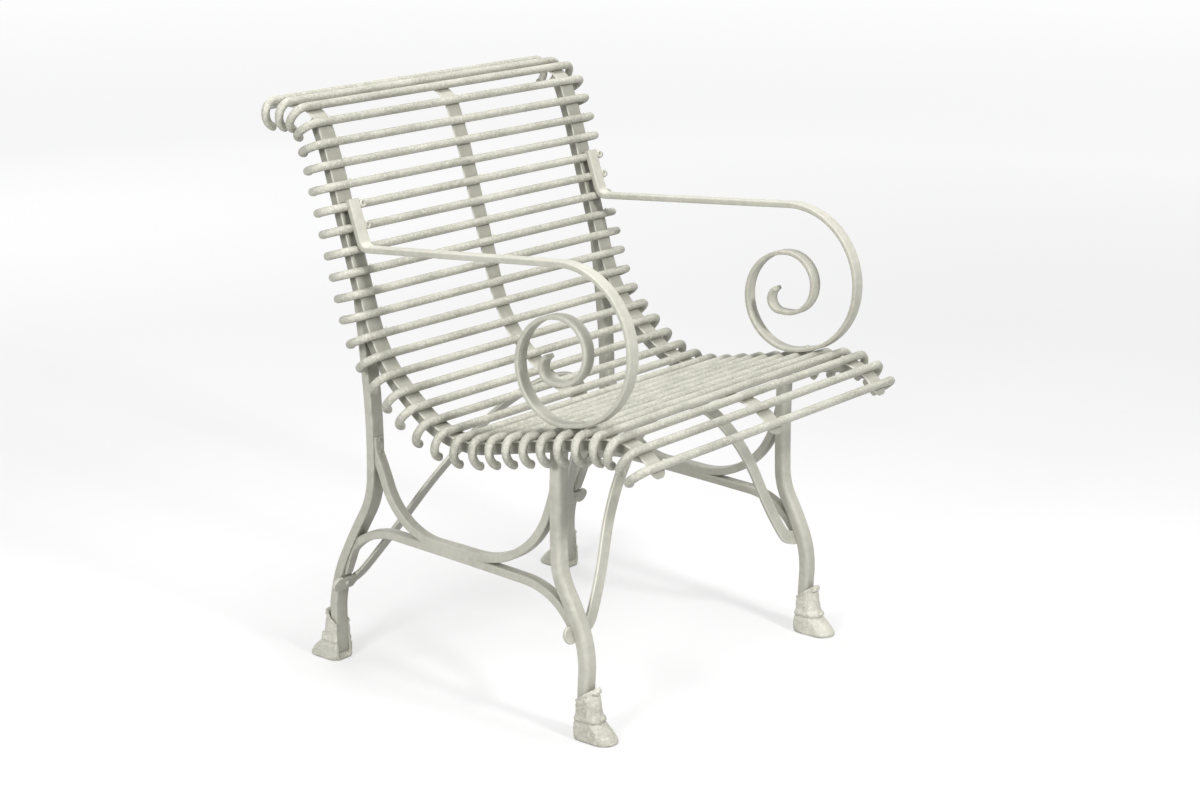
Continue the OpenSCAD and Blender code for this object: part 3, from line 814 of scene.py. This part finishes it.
def hollow_rings():
    """Rings that turn in behind the rim and leave a narrow hollow between toe side and leg."""
    inner = hoof_ring(*INNER_RIM)
    top = [Vector((u, v, rim_height(v) - INNER_DROP)) for u, v in inner]
    floor = [Vector((u * HOLLOW_SHRINK, min(v, HOLLOW_TOE), rim_height(v) - HOLLOW_DEPTH))
             for u, v in inner]
    return [top, floor]


def hoof_mesh(seed):
    """One hoof with its nub at the rim, its lump at the crease and small bumps on the flanks."""
    parts = [skin(shoe_rings(seed) + shaft_rings(seed) + hollow_rings())]
    for centre, radii, uneven, own_seed, rings, around in LUMPS:
        parts.append(blob(Vector(centre), radii, uneven, seed + own_seed, rings, around))
    for u in (-FLANK_U, FLANK_U):
        for place, radii, sign in FLANK_BUMPS:
            parts.append(blob(Vector((u, *place)), radii, 0.5, seed + sign * u, 8, 12))
    return joined(parts)


def build_hooves():
    """Cast hooves at the legs' ends; the back ones point to the rear, and each has its own seed."""
    for n, (which, leg, toe) in enumerate((("front", FRONT_LEG, -1), ("back", BACK_LEG, 1))):
        foot_y = pose(leg[0], leg[1], whole(leg[1]))[0] - SHIFT
        for m, (side, x) in enumerate(SIDE_X.items()):
            verts, faces = hoof_mesh(2.1 * n + 5.3 * m)
            placed = [Vector((x - toe * p.x, foot_y + toe * p.y, max(p.z, 0.0))) * MM for p in verts]
            name = f"{which}_{side}"
            add_piece("cast_hoof_" + name, placed, faces, "cast_hoof", ("hoof_" + name,), 50)


def dress_cad_nodes():
    """Paints the rods, rivets and bolts, which keep their CAD shapes."""
    for name, obj in nodes.items():
        if name.startswith("slat_"):
            paint = PAINT["painted_rod"]
        elif name.endswith(("rivets", "bolts")):
            paint = PAINT["painted_fixing"]
        else:
            continue
        if not obj.material_slots:
            obj.data.materials.append(None)
        for material_slot in obj.material_slots:
            material_slot.material = paint


# Studio, in metres

FLOOR_HALF = 60.0
FLOOR_GREY = (0.40, 0.40, 0.40)
# How much lighter the floor looks than it is lit, by distance: share of the reach, grey, blue
LIFT_REACH = 9.0
FLOOR_LIFT = ((0.0, 0.56, 0.56), (0.07, 0.55, 0.55), (0.15, 0.515, 0.515), (0.25, 0.55, 0.555),
              (0.36, 0.64, 0.645), (0.5, 0.75, 0.755), (1.0, 0.85, 0.855))
WHITE = (1.0, 1.0, 1.0)
WORLD_LIGHT = 0.31
LAMP_AIM = (0, 0, 0.4)
LAMPS = (
    # name, place, size, power
    ("key_front", (-0.45, -3.3, 2.5), 0.5, 88),
    ("key_left", (-3.1, -0.5, 1.6), 0.9, 62),
    ("top", (0.1, 0.1, 3.4), 1.0, 58),
    ("fill_back", (1.6, 3.4, 2.2), 2.0, 26),
)
CAMERA_PLACE = (-2.668, -2.1376, 1.3143)
CAMERA_AZIMUTH, CAMERA_ELEVATION = math.radians(50.52), math.radians(15.39)
LENS, SENSOR = 73.3, 36
LENS_SHIFT = (0.0425, 0.0025)


def seen_directly(tree, least=0.0):
    """1 for rays of the camera, of gloss and through glass, and least for all other rays."""
    path = tree.nodes.new("ShaderNodeLightPath")
    value = least
    for kind in ("Is Camera Ray", "Is Glossy Ray", "Is Transmission Ray"):
        value = calculated(tree, "MAXIMUM", path.outputs[kind], value)
    return value


def floor_material():
    """Pale floor that keeps the object's shadow, and looks a little lighter than it is lit."""
    mat, tree = new_material("studio_floor")
    out = tree.nodes.new("ShaderNodeOutputMaterial")
    shader = tree.nodes.new("ShaderNodeBsdfDiffuse")
    shader.inputs["Color"].default_value = (*FLOOR_GREY, 1)
    # Distance along the ground from the object's middle
    away = tree.nodes.new("ShaderNodeVectorMath")
    away.operation = "LENGTH"
    tree.links.new(tree.nodes.new("ShaderNodeTexCoord").outputs["Object"], away.inputs[0])
    share = ramped(tree, away.outputs["Value"], 0, LIFT_REACH, 0, 1)
    glow = tree.nodes.new("ShaderNodeEmission")
    stops = [(at, (grey, grey, blue)) for at, grey, blue in FLOOR_LIFT]
    tree.links.new(ramp(tree, share, stops), glow.inputs["Color"])
    tree.links.new(seen_directly(tree), glow.inputs["Strength"])
    both = tree.nodes.new("ShaderNodeAddShader")
    tree.links.new(shader.outputs[0], both.inputs[0])
    tree.links.new(glow.outputs[0], both.inputs[1])
    tree.links.new(both.outputs[0], out.inputs["Surface"])
    return mat


def build_floor():
    """One wide sheet of floor under the object."""
    mesh = bpy.data.meshes.new("studio_floor")
    r = FLOOR_HALF
    mesh.from_pydata([(-r, -r, 0), (r, -r, 0), (r, r, 0), (-r, r, 0)], [], [(0, 1, 2, 3)])
    floor = bpy.data.objects.new("studio_floor", mesh)
    bpy.context.scene.collection.objects.link(floor)
    mesh.materials.append(floor_material())


def build_world():
    """A world that looks white and gives a low, even light."""
    world = bpy.data.worlds.new("studio")
    bpy.context.scene.world = world
    world.use_nodes = True
    tree = world.node_tree
    back = tree.nodes["Background"]
    back.inputs["Color"].default_value = (*WHITE, 1)
    tree.links.new(seen_directly(tree, WORLD_LIGHT), back.inputs["Strength"])


def build_lamps():
    """Soft lamps around the object, all aimed at its middle."""
    for name, place, size, power in LAMPS:
        lamp = bpy.data.lights.new(name, "AREA")
        lamp.energy = power
        lamp.size = size
        obj = bpy.data.objects.new(name, lamp)
        bpy.context.scene.collection.objects.link(obj)
        obj.location = place
        obj.rotation_euler = (Vector(LAMP_AIM) - obj.location).to_track_quat("-Z", "Y").to_euler()


def build_camera():
    """Camera at the photograph's angle."""
    data = bpy.data.cameras.new("photo_view")
    data.lens = LENS
    data.sensor_width = SENSOR
    data.shift_x, data.shift_y = LENS_SHIFT
    camera = bpy.data.objects.new("photo_view", data)
    bpy.context.scene.collection.objects.link(camera)
    camera.location = CAMERA_PLACE
    level = math.cos(CAMERA_ELEVATION)
    ahead = Vector((math.sin(CAMERA_AZIMUTH) * level, math.cos(CAMERA_AZIMUTH) * level,
                    -math.sin(CAMERA_ELEVATION)))
    camera.rotation_euler = ahead.to_track_quat("-Z", "Y").to_euler()
    bpy.context.scene.camera = camera
    bpy.context.scene.view_settings.view_transform = "Standard"


build_strips()
build_rails()
build_legs()
build_braces()
build_arms()
build_buttons()
build_welds()
build_arches()
build_hooves()
dress_cad_nodes()
build_floor()
build_world()
build_lamps()
build_camera()
